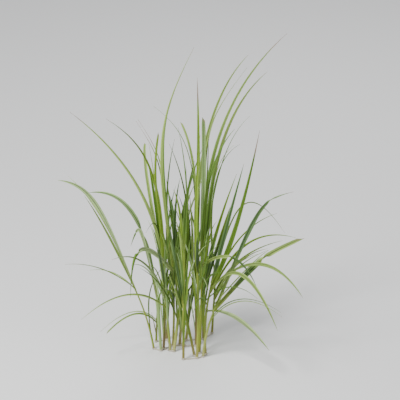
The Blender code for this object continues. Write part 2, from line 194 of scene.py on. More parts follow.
def stalk_point(stalk, share):
    """A point on a stalk's axis, from its foot to its head."""
    foot = Vector((*stalk.foot, 0)) * MM
    head = place(*stalk.head)
    middle = (foot + head) / 2 + Vector((2 * stalk.bow, 0, 0)) * MM
    return along(foot, middle, head, 1, share)


# Inner blades
# Steep younger blades stand among the outer ones and fill the clump. They are drawn by lot,
# each close over its own stalk. The finest leave their stalks low down, between the others.
Inner = namedtuple("Inner", "collar width across up depth up_by_depth")

STEEP = Inner(
    collar=(0.45, 1.0), width=(6, 11), across=48, up=(320, 490), depth=260, up_by_depth=0.25
)
STEEP_BLADES = 32
STEEP_LOOKS = ("fresh", "deep", "grass", "bright", "fresh", "pale", "bluish")
FINE = Inner(collar=(0.08, 0.8), width=(5, 9), across=74, up=(190, 400), depth=130, up_by_depth=0.2)
FINE_BLADES = 84
FINE_LOOKS = ("pale", "bright", "fresh", "cool", "bright", "frosty", "fresh")
HEART_REACH = 70
INNER_SHOULDER_UP = (0.55, 0.75)
INNER_SHOULDER_ACROSS = (0.1, 0.4)


def inner_blade(kind, stalk, look, chance):
    """A steep blade that stands close over its own stalk."""
    across = stalk.head[0] + chance.uniform(-kind.across, kind.across)
    depth = stalk.head[2] + chance.uniform(-kind.depth, kind.depth)
    up = chance.uniform(*kind.up) + depth * kind.up_by_depth
    towards_tip = chance.uniform(*INNER_SHOULDER_ACROSS)
    shoulder = (
        stalk.head[0] + (across - stalk.head[0]) * towards_tip,
        stalk.head[1] + (up - stalk.head[1]) * chance.uniform(*INNER_SHOULDER_UP),
    )
    width = chance.uniform(*kind.width)
    return Blade(look, chance.uniform(*kind.collar), shoulder, (across, up, depth), width)


chance = Random(7)
buds = [
    (number, order, blade)
    for number, stalk in enumerate(STALKS)
    for order, blade in enumerate(stalk.blades, 1)
]
heart = [number for number, stalk in enumerate(STALKS) if abs(stalk.head[0]) < HEART_REACH]
for steep in range(STEEP_BLADES):
    number = heart[steep % len(heart)]
    look = STEEP_LOOKS[steep % len(STEEP_LOOKS)]
    buds.append((number, 0, inner_blade(STEEP, STALKS[number], look, chance)))
fine_chance = Random(23)
fine_buds = []
for fine in range(FINE_BLADES):
    number = heart[fine % len(heart)]
    look = FINE_LOOKS[fine % len(FINE_LOOKS)]
    fine_buds.append((number, 0, inner_blade(FINE, STALKS[number], look, fine_chance)))

# Blades
# A blade is one long leaf: a thin ribbon folded along its midrib, clasping its stalk at the foot,
# widest past that, and drawn out to a fine dry tip, or cut off. It is half a millimetre thick.
BLADE_ACROSS = 10
BLADE_ALONG = 48
BLADE_THICKNESS = 0.5 * MM
BLADE_ROOT_SINK = 12 * MM
# The fold, the midrib and the ripple of the edges, as shares of a blade's width. At its foot a
# blade is folded further, round its stalk.
BLADE_FOLD = 0.18
BLADE_MIDRIB = 0.035
BLADE_CLASP = 1.0
BLADE_CLASP_SHARE = 0.12
RIPPLE_HEIGHT = 0.05
RIPPLE_TURNS = (2.0, 5.0)
# The width at the foot, how far along it is full, and how late it narrows again.
BLADE_FORM = (0.55, 0.3, 1.6)
LATE_BLADE_FORM = (0.35, 0.6, 3.2)
BLADE_TAPER = 0.85
BLADE_TIP_WIDTH = 0.5 * MM
BLADE_END = 0.996
MIDDLE_REACH = 0.001
# A blade that has lost its tip ends round and a little slanting.
CUT_BLADE_TAPER = 0.4
CUT_ROUND_FROM = 0.9
CUT_END_SHARE = 0.3
CUT_SLANT = 0.03
CUT_SLANT_FROM = 0.8
# How far a blade is turned about its own length, and how much it twists.
ROLL_SPREAD = math.radians(18)
FINE_ROLL_SPREAD = math.radians(65)
TWIST_SPREAD = math.radians(28)
# A blade that hardly leaves its stalk sideways has its shoulder's depth from this share.
STRAIGHT_BLADE_ACROSS = 124 * MM
STRAIGHT_BLADE_SHARE = 0.4
SHARE_BELOW = 0.02
SHARE_AHEAD = 0.01
# A blade follows its own solid, which may stand nearer or further back than the table says.
# So its tip and shoulder are moved by steps in depth, the shortest way first, until it does.
DEPTH_STEP = 9
DEPTH_STEPS = 11
DEPTH_SHIFTS = [0] + [
    side * step * DEPTH_STEP * MM for step in range(1, DEPTH_STEPS + 1) for side in (1, -1)
]
SHORTEST_FIRST = sorted(
    product(DEPTH_SHIFTS, DEPTH_SHIFTS), key=lambda pair: abs(pair[0]) + abs(pair[1])
)
SOLID_STEP = 52 * MM
SOLID_FEWEST_STEPS = 5
SOLID_MOST_STEPS = 11
SOLID_FROM = 0.5
SOLID_REACH = 0.9 * MM
LOOK_COLOURS = {
    "frosty": (0.38, 0.52, 0.22),
    "pale": (0.30, 0.43, 0.105),
    "cool": (0.25, 0.38, 0.135),
    "fresh": (0.135, 0.25, 0.04),
    "bluish": (0.115, 0.205, 0.062),
    "bright": (0.22, 0.35, 0.035),
    "grass": (0.12, 0.23, 0.024),
    "olive": (0.08, 0.15, 0.015),
    "deep": (0.068, 0.128, 0.032),
    "sage": (0.105, 0.185, 0.065),
    "dry": (0.38, 0.36, 0.21),
}
COLOUR_SPREAD = 0.14
WARMTH_SHARE = 0.2
SMOOTH_ANGLE = math.radians(50)
# In the next three, a blade goes by its stalk's number and its place in that stalk's list.
# These have another look in their lower part.
LOWER_LOOKS = {
    (15, 1): "sage", (15, 2): "deep", (16, 1): "sage",
    (17, 1): "fresh", (17, 2): "fresh", (17, 5): "sage", (17, 6): "deep",
}
LOWER_FROM = 0.25
LOWER_TO = 0.6
# These turn over on themselves: how far along, over what length, and their look from there.
TURNED = {
    (2, 1): (0.36, 0.25, "cool"),
    (3, 1): (0.84, 0.1, "grass"),
    (11, 4): (0.6, 0.12, "grass"),
    (14, 2): (0.45, 0.15, "deep"),
    (15, 1): (0.75, 0.26, "cool"),
    (15, 2): (0.55, 0.3, "pale"),
}
TURN_BLUR = 0.01
# These have dried back from their tip, from so far along. The others are dry at the tip only.
DRIED = {(4, 1): 0.9, (5, 1): 0.82, (5, 2): 0.76, (10, 1): 0.84, (16, 2): 0.86, (17, 1): 0.88}
DRY_FROM = (0.94, 1.0)
CUT_DRY_FROM = 0.968


def flat_sheet(name, across, along):
    """A flat grid, one wide and one long, that starts at the origin."""
    bpy.ops.object.select_all(action="DESELECT")
    bpy.ops.mesh.primitive_grid_add(
        x_subdivisions=across, y_subdivisions=along, size=1, location=(0, 0.5, 0)
    )
    sheet = bpy.context.object
    sheet.name = name
    bpy.ops.object.transform_apply(location=True, rotation=False, scale=False)
    return sheet


# The strip that every blade is bent from: its middle is drawn down to a fold and a midrib.
strip = flat_sheet("blade_strip", BLADE_ACROSS, BLADE_ALONG)
for vertex in strip.data.vertices:
    vertex.select = abs(vertex.co.x) < MIDDLE_REACH
for edge in strip.data.edges:
    edge.select = all(strip.data.vertices[index].select for index in edge.vertices)
for face in strip.data.polygons:
    face.select = False
bpy.ops.object.mode_set(mode="EDIT")
bpy.ops.transform.translate(
    value=(0, 0, -BLADE_FOLD),
    use_proportional_edit=True,
    proportional_edit_falloff="LINEAR",
    proportional_size=0.5,
)
bpy.ops.transform.translate(value=(0, 0, -BLADE_MIDRIB))
bpy.ops.object.mode_set(mode="OBJECT")


def blade_line(stalk, blade, tip_shift, shoulder_shift):
    """The three points that bend a blade, from inside its stalk to its tip."""
    collar = stalk_point(stalk, blade.collar)
    below = stalk_point(stalk, blade.collar - SHARE_BELOW)
    root = collar - (collar - below).normalized() * BLADE_ROOT_SINK
    across, up, depth = blade.tip
    tip = place(across, up, depth + tip_shift / MM)
    share = STRAIGHT_BLADE_SHARE
    if abs(tip.x - root.x) > STRAIGHT_BLADE_ACROSS:
        share = (blade.shoulder[0] * MM - root.x) / (tip.x - root.x)
    share = max(0, min(1, share))
    shoulder_depth = root.y + share * (tip.y - root.y) + shoulder_shift
    return root, place(*blade.shoulder, shoulder_depth / MM), tip


def solid_tree(number):
    """A search tree over a stalk's solid in the frame."""
    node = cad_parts[f"stalk_{number + 1:02}"]
    return BVHTree.FromPolygons(
        [vertex.co for vertex in node.data.vertices],
        [list(face.vertices) for face in node.data.polygons],
    )


def line_in_solid(stalk, blade, tree):
    """The blade's line where its own solid has it, or nothing where it has no solid."""
    for tip_shift, shoulder_shift in SHORTEST_FIRST:
        line = blade_line(stalk, blade, tip_shift, shoulder_shift)
        length = (line[1] - line[0]).length + (line[2] - line[1]).length
        steps = max(SOLID_FEWEST_STEPS, min(SOLID_MOST_STEPS, round(length / SOLID_STEP)))
        shares = [step / steps for step in range(steps, 0, -1) if step / steps >= SOLID_FROM]
        places = (along(*line, blade.pull, share) for share in shares)
        if all(tree.find_nearest(point, SOLID_REACH)[0] for point in places):
            return line
    return None


def eased(value, start, end):
    """How far a value is from start to end, from 0 to 1, with soft ends."""
    share = max(0, min(1, (value - start) / (end - start)))
    return share * share * (3 - 2 * share)


def blade_width(blade, share):
    """A blade's width: narrow where it leaves the stalk, full past that, and fine at its tip."""
    root, full_at, taper_start = LATE_BLADE_FORM if blade.late else BLADE_FORM
    grown = eased(share, 0, full_at) if blade.late else min(1, share / full_at)
    full = blade.width * MM * (root + (1 - root) * grown)
    if blade.cut:
        past = max(0, (share - CUT_ROUND_FROM) / (1 - CUT_ROUND_FROM))
        rounded = CUT_END_SHARE + (1 - CUT_END_SHARE) * math.sqrt(max(0, 1 - past * past))
        return full * (1 - CUT_BLADE_TAPER * share) * rounded
    return max(BLADE_TIP_WIDTH, full * (1 - min(1, share) ** taper_start) ** BLADE_TAPER)


def bent_blade(line, blade, roll, twist, turned, lot):
    """A copy of the strip, bent along its line, with a slight ripple in its edges."""
    mesh = strip.data.copy()
    phase = lot.uniform(0, 2 * math.pi)
    turns = lot.uniform(*RIPPLE_TURNS)
    for vertex in mesh.vertices:
        across, share, height = vertex.co
        share *= BLADE_END
        if blade.cut:
            share -= CUT_SLANT * (across + 0.5) * eased(share, CUT_SLANT_FROM, 1)
        width = blade_width(blade, share)
        centre = along(*line, blade.pull, share)
        ahead = (along(*line, blade.pull, share + SHARE_AHEAD) - centre).normalized()
        side = ahead.cross(TOWARDS_VIEW).normalized()
        face = side.cross(ahead)
        turn = roll + twist * share
        if turned:
            turn += math.pi * eased(share, turned[0] - turned[1] / 2, turned[0] + turned[1] / 2)
        side, face = (
            side * math.cos(turn) + face * math.sin(turn),
            face * math.cos(turn) - side * math.sin(turn),
        )
        clasp = 1 + BLADE_CLASP * (1 - eased(share, 0, BLADE_CLASP_SHARE))
        wave = RIPPLE_HEIGHT * (2 * across) ** 2 * math.sin(phase + turns * 2 * math.pi * share)
        if across < 0:
            wave = -wave
        lift = (height + BLADE_FOLD) * clasp + wave
        vertex.co = centre + side * across * width + face * lift * width
    return mesh


def node_group(name, takes, gives):
    """An empty shader node group that takes and gives numbers, with its two ends."""
    group = bpy.data.node_groups.new(name, "ShaderNodeTree")
    for socket in takes:
        group.interface.new_socket(socket, in_out="INPUT", socket_type="NodeSocketFloat")
    for socket in gives:
        group.interface.new_socket(socket, in_out="OUTPUT", socket_type="NodeSocketFloat")
    start = group.nodes.new("NodeGroupInput")
    end = group.nodes.new("NodeGroupOutput")
    return group, start.outputs, end.inputs


def feed(tree, socket, value):
    """Link a socket to another, or set it to a number or a colour."""
    if isinstance(value, bpy.types.NodeSocket):
        tree.links.new(value, socket)
    elif isinstance(value, tuple):
        socket.default_value = (*value, 1)
    else:
        socket.default_value = value


def math_node(tree, operation, *values):
    """A Math node on sockets or numbers, giving its output."""
    node = tree.nodes.new("ShaderNodeMath")
    node.operation = operation
    for socket, value in zip(node.inputs, values):
        feed(tree, socket, value)
    return node.outputs[0]


def rising(tree, value, start, end):
    """How far a value is from start to end, kept from 0 to 1."""
    node = tree.nodes.new("ShaderNodeMapRange")
    feed(tree, node.inputs["Value"], value)
    feed(tree, node.inputs["From Min"], start)
    feed(tree, node.inputs["From Max"], end)
    return node.outputs["Result"]


def off_middle(tree, value):
    """How far a value that runs from 0 to 1 is past its middle."""
    return math_node(tree, "SUBTRACT", value, 0.5)


def stretched(tree, *parts):
    """A place made of three values, each with its own stretch."""
    place_node = tree.nodes.new("ShaderNodeCombineXYZ")
    for socket, (value, stretch) in zip(place_node.inputs, parts):
        feed(tree, socket, math_node(tree, "MULTIPLY", value, stretch))
    return place_node.outputs[0]


def noise(tree, where, scale, detail):
    """The value of a noise texture."""
    texture = tree.nodes.new("ShaderNodeTexNoise")
    feed(tree, texture.inputs["Vector"], where)
    feed(tree, texture.inputs["Scale"], scale)
    feed(tree, texture.inputs["Detail"], detail)
    return texture.outputs[0]


# Fine stripes that run the length of a leaf or sheath, from its UV place. Its lot moves them, so
# that no two leaves are striped alike.
STREAK_STRETCH = 1.8
STREAK_FROM = 0.32
STREAK_CONTRAST = 2.8
STREAK_LOTS = 37

stripes, given, gives = node_group(
    "parallel veins", ("Across", "Along", "Count", "Lot"), ("Streaks", "Height")
)
streak_place = stretched(
    stripes,
    (given["Across"], given["Count"]),
    (given["Along"], STREAK_STRETCH),
    (given["Lot"], STREAK_LOTS),
)
streaks = noise(stripes, streak_place, scale=1, detail=3)
clear_streaks = math_node(stripes, "SUBTRACT", streaks, STREAK_FROM)
feed(stripes, gives["Streaks"], math_node(stripes, "MULTIPLY", clear_streaks, STREAK_CONTRAST))
ridge_turns = math_node(stripes, "MULTIPLY", given["Across"], given["Count"])
ridge_angle = math_node(stripes, "MULTIPLY", ridge_turns, 2 * math.pi)
feed(stripes, gives["Height"], math_node(stripes, "SINE", ridge_angle))

# A dry end: nothing up to where it starts, then ragged, then whole.
RAGGED_ACROSS = 3
RAGGED_ALONG = 40
RAGGED_LOTS = 53
RAGGED_DEPTH = 0.06

dry_end, given, gives = node_group(
    "dry end", ("Across", "Along", "Starts", "Softness", "Lot"), ("Dry",)
)
ragged_place = stretched(
    dry_end,
    (given["Across"], RAGGED_ACROSS),
    (given["Along"], RAGGED_ALONG),
    (given["Lot"], RAGGED_LOTS),
)
ragged = noise(dry_end, ragged_place, scale=1, detail=2)
ragged_shift = math_node(dry_end, "MULTIPLY", off_middle(dry_end, ragged), RAGGED_DEPTH)
ragged_along = math_node(dry_end, "ADD", given["Along"], ragged_shift)
all_dry = math_node(dry_end, "ADD", given["Starts"], given["Softness"])
feed(dry_end, gives["Dry"], rising(dry_end, ragged_along, given["Starts"], all_dry))


def use_group(tree, group, **values):
    """A node group placed in a material, with each named input linked or set."""
    node = tree.nodes.new("ShaderNodeGroup")
    node.node_tree = group
    for name, value in values.items():
        feed(tree, node.inputs[name.capitalize()], value)
    return node.outputs


def attribute(tree, name, output):
    """What a surface reads from an attribute of its mesh."""
    node = tree.nodes.new("ShaderNodeAttribute")
    node.attribute_name = name
    return node.outputs[output]


def leaf_inputs(tree):
    """The places across and along, the own colour and the own lots that a plant surface reads."""
    uv = tree.nodes.new("ShaderNodeUVMap")
    uv.uv_map = "UVMap"
    places = tree.nodes.new("ShaderNodeSeparateXYZ")
    feed(tree, places.inputs[0], uv.outputs[0])
    lots = tree.nodes.new("ShaderNodeSeparateXYZ")
    feed(tree, lots.inputs[0], attribute(tree, "leaf_lots", "Vector"))
    return places.outputs[0], places.outputs[1], attribute(tree, "leaf_colour", "Color"), lots.outputs


def colour_mix(tree, kind, share, first, second):
    """A Mix node between two colours, giving its output."""
    node = tree.nodes.new("ShaderNodeMix")
    node.data_type = "RGBA"
    node.blend_type = kind
    feed(tree, node.inputs[0], share)
    feed(tree, node.inputs[6], first)
    feed(tree, node.inputs[7], second)
    return node.outputs[2]


def tinted(tree, colour, tint, mask, most=1):
    """A colour that passes into a tint where a mask says so, and no further than most."""
    return colour_mix(tree, "MIX", math_node(tree, "MULTIPLY", mask, most), colour, tint)


def shaded(tree, colour, amount, least, reach):
    """A colour times a grey, which is least where the amount is 0, and by reach more at 1."""
    factor = math_node(tree, "ADD", math_node(tree, "MULTIPLY", amount, reach), least)
    grey = tree.nodes.new("ShaderNodeCombineColor")
    for socket in grey.inputs:
        feed(tree, socket, factor)
    return colour_mix(tree, "MULTIPLY", 1, colour, grey.outputs[0])


def new_surface(name):
    """A new material, with its node tree and its shader's sockets."""
    surface = bpy.data.materials.new(name)
    surface.use_nodes = True
    return surface, surface.node_tree, surface.node_tree.nodes["Principled BSDF"].inputs


def relief(tree, sockets, height, strength, depth):
    """Give a surface its fine relief, from a height."""
    bump = tree.nodes.new("ShaderNodeBump")
    feed(tree, bump.inputs["Strength"], strength)
    feed(tree, bump.inputs["Distance"], depth)
    feed(tree, bump.inputs["Height"], height)
    feed(tree, sockets["Normal"], bump.outputs[0])


# The blades' surface: striped green, painted shadow along the crease of the fold, pale edges that
# are partly the leaf's pale margin and partly painted highlight, a paler foot and a dry tip. One
# half of a blade is often darker than the other, which is painted shade on one side of its fold.
# Widths and lengths are shares of the blade's, and streaks go from a least light up by so much.
BLADE_VEINS = 5
BLADE_STREAKS = (0.6, 0.75)
# Painted shade on one half of a blade: at most this share darker, by the blade's lot.
HALF_SHADE = 0.4
# Painted shadow in the crease: how much darker the middle is, and over what share of the width.
CREASE_SHADE = 0.65
CREASE_WIDTH = 1 / 9
# The pale edges: partly the leaf's pale margin and partly painted highlight on the raised edges of the
# fold.
MARGIN_AND_HIGHLIGHT_COLOUR = (0.38, 0.50, 0.17)
EDGE_FROM = 0.4
MARGIN_AND_HIGHLIGHT_TINT = 0.15
BLADE_FOOT_COLOUR = (0.28, 0.34, 0.06)
BLADE_FOOT_LENGTH = 1 / 6
BLADE_FOOT_TINT = 0.5
DRY_COLOUR = (0.27, 0.195, 0.125)
DRY_SOFTNESS = 0.05
VEIN_DEPTH = 0.2 * MM
BLADE_RELIEF = 0.35
BLADE_ROUGHNESS = 0.42
STREAK_ROUGHNESS = 0.14
BLADE_SHINE = 0.12

blade_surface, tree, sockets = new_surface("blade_green")
across, share_along, own_colour, lots = leaf_inputs(tree)
veins = use_group(tree, stripes, across=across, along=share_along, count=BLADE_VEINS, lot=lots[0])
colour = shaded(tree, own_colour, veins["Streaks"], *BLADE_STREAKS)
# Painted shade: the half past the midrib is darkened by the blade's third lot, as one side of its fold
# would lie in shade.
shaded_half = math_node(tree, "GREATER_THAN", across, 0.5)
colour = shaded(tree, colour, math_node(tree, "MULTIPLY", shaded_half, lots[2]), 1, -HALF_SHADE)
aside = math_node(tree, "ABSOLUTE", off_middle(tree, across))
# Painted shadow: the middle of the blade, along its crease, is darkened as if shade fell into the
# fold.
colour = shaded(tree, colour, rising(tree, aside, CREASE_WIDTH, 0), 1, -CREASE_SHADE)
# Pale edges, partly the leaf's own margin and partly painted highlight where the fold's edges would
# catch the light.
colour = tinted(tree, colour, MARGIN_AND_HIGHLIGHT_COLOUR, rising(tree, aside, EDGE_FROM, 0.5), MARGIN_AND_HIGHLIGHT_TINT)
near_foot = rising(tree, share_along, BLADE_FOOT_LENGTH, 0)
colour = tinted(tree, colour, BLADE_FOOT_COLOUR, near_foot, BLADE_FOOT_TINT)
dry_tip = use_group(
    tree, dry_end, across=across, along=share_along, starts=lots[1], softness=DRY_SOFTNESS, lot=lots[0]
)
feed(tree, sockets["Base Color"], tinted(tree, colour, DRY_COLOUR, dry_tip["Dry"]))
rough_streaks = math_node(tree, "MULTIPLY", veins["Streaks"], STREAK_ROUGHNESS)
feed(tree, sockets["Roughness"], math_node(tree, "ADD", rough_streaks, BLADE_ROUGHNESS))
feed(tree, sockets["Specular IOR Level"], BLADE_SHINE)
relief(tree, sockets, veins["Height"], BLADE_RELIEF, VEIN_DEPTH)


def paint(mesh, name, colour):
    """Give a mesh a colour attribute, the same all over."""
    colours = mesh.attributes.new(name, "FLOAT_COLOR", "POINT")
    colours.data.foreach_set("color", [*colour, 1] * len(mesh.vertices))


def mark(mesh, colour, lots):
    """Give a mesh its own colour and lots, which its surface reads."""
    paint(mesh, "leaf_colour", colour)
    own_lots = mesh.attributes.new("leaf_lots", "FLOAT_VECTOR", "POINT")
    own_lots.data.foreach_set("vector", list(lots) * len(mesh.vertices))


def recolour(mesh, colour, start, end):
    """Give a blade another colour at its start, which passes into its own towards the end."""
    colours = mesh.attributes["leaf_colour"].data
    for vertex, flat in zip(colours, strip.data.vertices):
        share = eased(flat.co.y, start, end)
        mixed = Vector(colour).lerp(Vector(vertex.color[:3]), share)
        vertex.color = (*mixed, 1)


def varied(colour, lot):
    """A colour made a little lighter or darker, and a little warmer or cooler."""
    light = 1 + lot.uniform(-COLOUR_SPREAD, COLOUR_SPREAD)
    warm = lot.uniform(-COLOUR_SPREAD, COLOUR_SPREAD) * WARMTH_SHARE
    return (colour[0] * (light + warm), colour[1] * light, colour[2] * (light - warm))


def one_piece(name, meshes, material):
    """One finished piece from several meshes."""
    things = []
    for mesh in meshes:
        thing = bpy.data.objects.new(name, mesh)
        bpy.context.scene.collection.objects.link(thing)
        things.append(thing)
    bpy.ops.object.select_all(action="DESELECT")
    for thing in things:
        thing.select_set(True)
    bpy.context.view_layer.objects.active = things[0]
    bpy.ops.object.join()
    piece = bpy.context.object
    piece.name = name
    piece.data.materials.clear()
    piece.data.materials.append(material)
    return piece


def thicken(piece, thickness):
    """Give a piece's thin sheets their thickness."""
    wall = piece.modifiers.new("wall", "SOLIDIFY")
    wall.thickness = thickness
    wall.offset = 0
    bpy.ops.object.modifier_apply(modifier=wall.name)


def grow(number, order, blade, line, roll_spread, chance, lot):
    """Bend a blade along its line, and give it its own colour, tip and turn."""
    roll = chance.uniform(-roll_spread, roll_spread)
    twist = chance.uniform(-TWIST_SPREAD, TWIST_SPREAD)
    if line is None:
        return
    if blade.cut:
        roll = twist = 0
    bud = (number + 1, order)
    turned = TURNED.get(bud)
    mesh = bent_blade(line, blade, roll, twist, turned, lot)
    dry_from = CUT_DRY_FROM if blade.cut else lot.uniform(*DRY_FROM)
    dry_from = DRIED.get(bud, dry_from)
    mark(mesh, varied(LOOK_COLOURS[blade.look], lot), (lot.random(), dry_from, lot.random()))
    if turned:
        recolour(mesh, LOOK_COLOURS[turned[2]], turned[0] + TURN_BLUR, turned[0] - TURN_BLUR)
    if bud in LOWER_LOOKS:
        recolour(mesh, LOOK_COLOURS[LOWER_LOOKS[bud]], LOWER_FROM, LOWER_TO)
    grown[number].append(mesh)


lot = Random(11)
grown = [[] for stalk in STALKS]
trees = [solid_tree(number) for number in range(len(STALKS))]
for number, order, blade in buds:
    line = line_in_solid(STALKS[number], blade, trees[number])
    grow(number, order, blade, line, ROLL_SPREAD, chance, lot)
fine_lot = Random(29)
for number, order, blade in fine_buds:
    line = blade_line(STALKS[number], blade, 0, 0)
    grow(number, order, blade, line, FINE_ROLL_SPREAD, fine_chance, fine_lot)
for number, meshes in enumerate(grown, 1):
    piece = one_piece(f"stalk_{number:02}_blades", meshes, blade_surface)
    thicken(piece, BLADE_THICKNESS)
    bpy.ops.object.shade_smooth_by_angle(angle=SMOOTH_ANGLE)
    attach(piece, "root")
    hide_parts(f"stalk_{number:02}")
bpy.data.objects.remove(strip, do_unlink=True)

# Stalks
# A stalk is a slim roll of leaf sheaths, each wrapped round the next and ending in the collar
# of its blade. Outer sheaths end lower. The foot is pale or pinkish brown where it was in soil.

# The core is slimmer than its stalk, and drawn in to a point above its head.
CORE_SIDES = 14
CORE_RINGS = 22
CORE_SHARE = 0.8
CORE_POINT = 6 * MM
CORE_POINT_SHARE = 0.3
CORE_POINT_FROM = 0.999
# A sheath wraps a little more than once round, inside the last, and flares at its slanting rim.
SHEATH_AROUND = 18
SHEATH_ALONG = 24
SHEATH_WRAP = 1.12
SHEATH_STEP = 0.09
SHEATH_SPIRAL = 0.07
SHEATH_MOST = 3
SHEATH_SLANT = 5 * MM
SHEATH_FLARE = 0.3
SHEATH_FLARE_FROM = 0.88
CUT_END_LENGTH = 9 * MM
STALK_COLOURS = {
    "yellow": (0.31, 0.37, 0.045),
    "cream": (0.39, 0.42, 0.10),
    "green": (0.20, 0.29, 0.035),
    "olive": (0.20, 0.24, 0.035),
    "frosty": (0.31, 0.47, 0.14),
}
FOOT_COLOURS = {
    "pink": (0.26, 0.17, 0.10),
    "brown": (0.19, 0.14, 0.045),
    "tan": (0.32, 0.27, 0.09),
    "cream": (0.44, 0.42, 0.18),
    "frosty": (0.31, 0.42, 0.17),
}
# Each stalk's colour, the colour of its foot, and how far up the foot's colour goes.
STALK_LOOKS = (
    ("yellow", "pink", 0.25),
    ("olive", "tan", 0.3),
    ("frosty", "frosty", 0.2),
    ("olive", "pink", 0.5),
    ("olive", "pink", 0.35),
    ("yellow", "cream", 0.3),
    ("cream", "cream", 0.4),
    ("yellow", "pink", 0.5),
    ("yellow", "brown", 0.35),
    ("yellow", "tan", 0.2),
    ("yellow", "tan", 0.3),
    ("olive", "pink", 0.8),
    ("yellow", "tan", 0.2),
    ("yellow", "tan", 0.2),
    ("cream", "cream", 0.25),
    ("yellow", "tan", 0.2),
    ("green", "pink", 0.3),
    ("olive", "tan", 0.4),
    ("cream", "tan", 0.3),
)

# The stalks' surface: fine stripes, from a patchy brown or cream foot to a greener head. The
# sheaths' margins and the ends that were cut off in the soil are papery and pale.
STALK_VEINS = 22
STALK_STREAKS = (0.76, 0.42)
STALK_HEAD_COLOUR = (0.18, 0.28, 0.045)
FROSTY_HEAD_COLOUR = (0.30, 0.46, 0.14)
HEAD_TINT = 0.75
FOOT_PATCH_SCALE = 70
FOOT_PATCHINESS = 1.6
FOOT_TINT = 0.85
SHEATH_MARGIN_COLOUR = (0.48, 0.47, 0.26)
MARGIN_FROM = 11 / 24
MARGIN_TINT = 0.7
CUT_END_COLOUR = (0.56, 0.50, 0.33)
CUT_END_WHOLE = 0.375
STALK_RELIEF = 0.3
STALK_ROUGHNESS = 0.5
STALK_SHINE = 0.15

stalk_surface, tree, sockets = new_surface("stalk_green")
across, share_along, own_colour, lots = leaf_inputs(tree)
veins = use_group(tree, stripes, across=across, along=share_along, count=STALK_VEINS, lot=lots[0])
colour = shaded(tree, own_colour, veins["Streaks"], *STALK_STREAKS)
near_head = math_node(tree, "POWER", share_along, 2)
colour = tinted(tree, colour, attribute(tree, "head_colour", "Color"), near_head, HEAD_TINT)
object_place = tree.nodes.new("ShaderNodeTexCoord").outputs["Object"]
patches = off_middle(tree, noise(tree, object_place, FOOT_PATCH_SCALE, detail=3))
near_foot = math_node(tree, "SUBTRACT", 1, math_node(tree, "DIVIDE", share_along, lots[1]))
patchy_foot = math_node(tree, "ADD", near_foot, math_node(tree, "MULTIPLY", patches, FOOT_PATCHINESS))
foot_mask = rising(tree, patchy_foot, 0, 1)
colour = tinted(tree, colour, attribute(tree, "foot_colour", "Color"), foot_mask, FOOT_TINT)
aside = math_node(tree, "ABSOLUTE", off_middle(tree, across))
margin = rising(tree, aside, MARGIN_FROM, 0.5)
colour = tinted(tree, colour, SHEATH_MARGIN_COLOUR, margin, MARGIN_TINT)
cut_whole = math_node(tree, "MULTIPLY", lots[2], CUT_END_WHOLE)
cut_end = rising(tree, share_along, lots[2], cut_whole)
feed(tree, sockets["Base Color"], tinted(tree, colour, CUT_END_COLOUR, cut_end))
feed(tree, sockets["Roughness"], STALK_ROUGHNESS)
feed(tree, sockets["Specular IOR Level"], STALK_SHINE)
relief(tree, sockets, veins["Height"], STALK_RELIEF, VEIN_DEPTH)

# The rod that becomes each stalk's core, and the sheet that becomes each of its sheaths.
bpy.ops.object.select_all(action="DESELECT")
bpy.ops.mesh.primitive_cylinder_add(vertices=CORE_SIDES, radius=1, depth=1, location=(0, 0, 0.5))
rod = bpy.context.object
bpy.ops.object.transform_apply(location=True, rotation=False, scale=False)
bpy.ops.object.mode_set(mode="EDIT")
for ring in range(1, CORE_RINGS):
    bpy.ops.mesh.select_all(action="SELECT")
    bpy.ops.mesh.bisect(plane_co=(0, 0, ring / CORE_RINGS), plane_no=(0, 0, 1))
bpy.ops.object.mode_set(mode="OBJECT")
sheet = flat_sheet("sheath_sheet", SHEATH_AROUND, SHEATH_ALONG)


def stalk_radius(stalk, share):
    """A stalk's radius, slimmer upwards."""
    return (stalk.foot_radius + (stalk.head_radius - stalk.foot_radius) * share) * MM


def core_mesh(stalk):
    """The stalk's core, drawn in to a point at its head."""
    mesh = rod.data.copy()
    for vertex in mesh.vertices:
        x, y, share = vertex.co
        radius = stalk_radius(stalk, share) * CORE_SHARE
        lift = 0
        if share > CORE_POINT_FROM:
            radius *= CORE_POINT_SHARE
            lift = CORE_POINT
        vertex.co = stalk_point(stalk, share) + Vector((x * radius, y * radius, lift))
    return mesh


def sheath_mesh(stalk, top, layer, opening):
    """One sheath, rolled round the stalk from its foot to its collar."""
    mesh = sheet.data.copy()
    height = stalk_point(stalk, 1).z
    for vertex in mesh.vertices:
        turn = vertex.co.x * SHEATH_WRAP * 2 * math.pi
        rim = top + SHEATH_SLANT / height * (math.cos(turn) - 1)
        share = vertex.co.y * rim
        size = 1 - layer * SHEATH_STEP - (vertex.co.x + 0.5) * SHEATH_SPIRAL
        size *= 1 + SHEATH_FLARE * eased(vertex.co.y, SHEATH_FLARE_FROM, 1) * (layer + 1) / SHEATH_MOST
        radius = stalk_radius(stalk, share) * size
        turn += opening
        around = Vector((math.cos(turn), math.sin(turn), 0))
        vertex.co = stalk_point(stalk, share) + around * radius
    return mesh


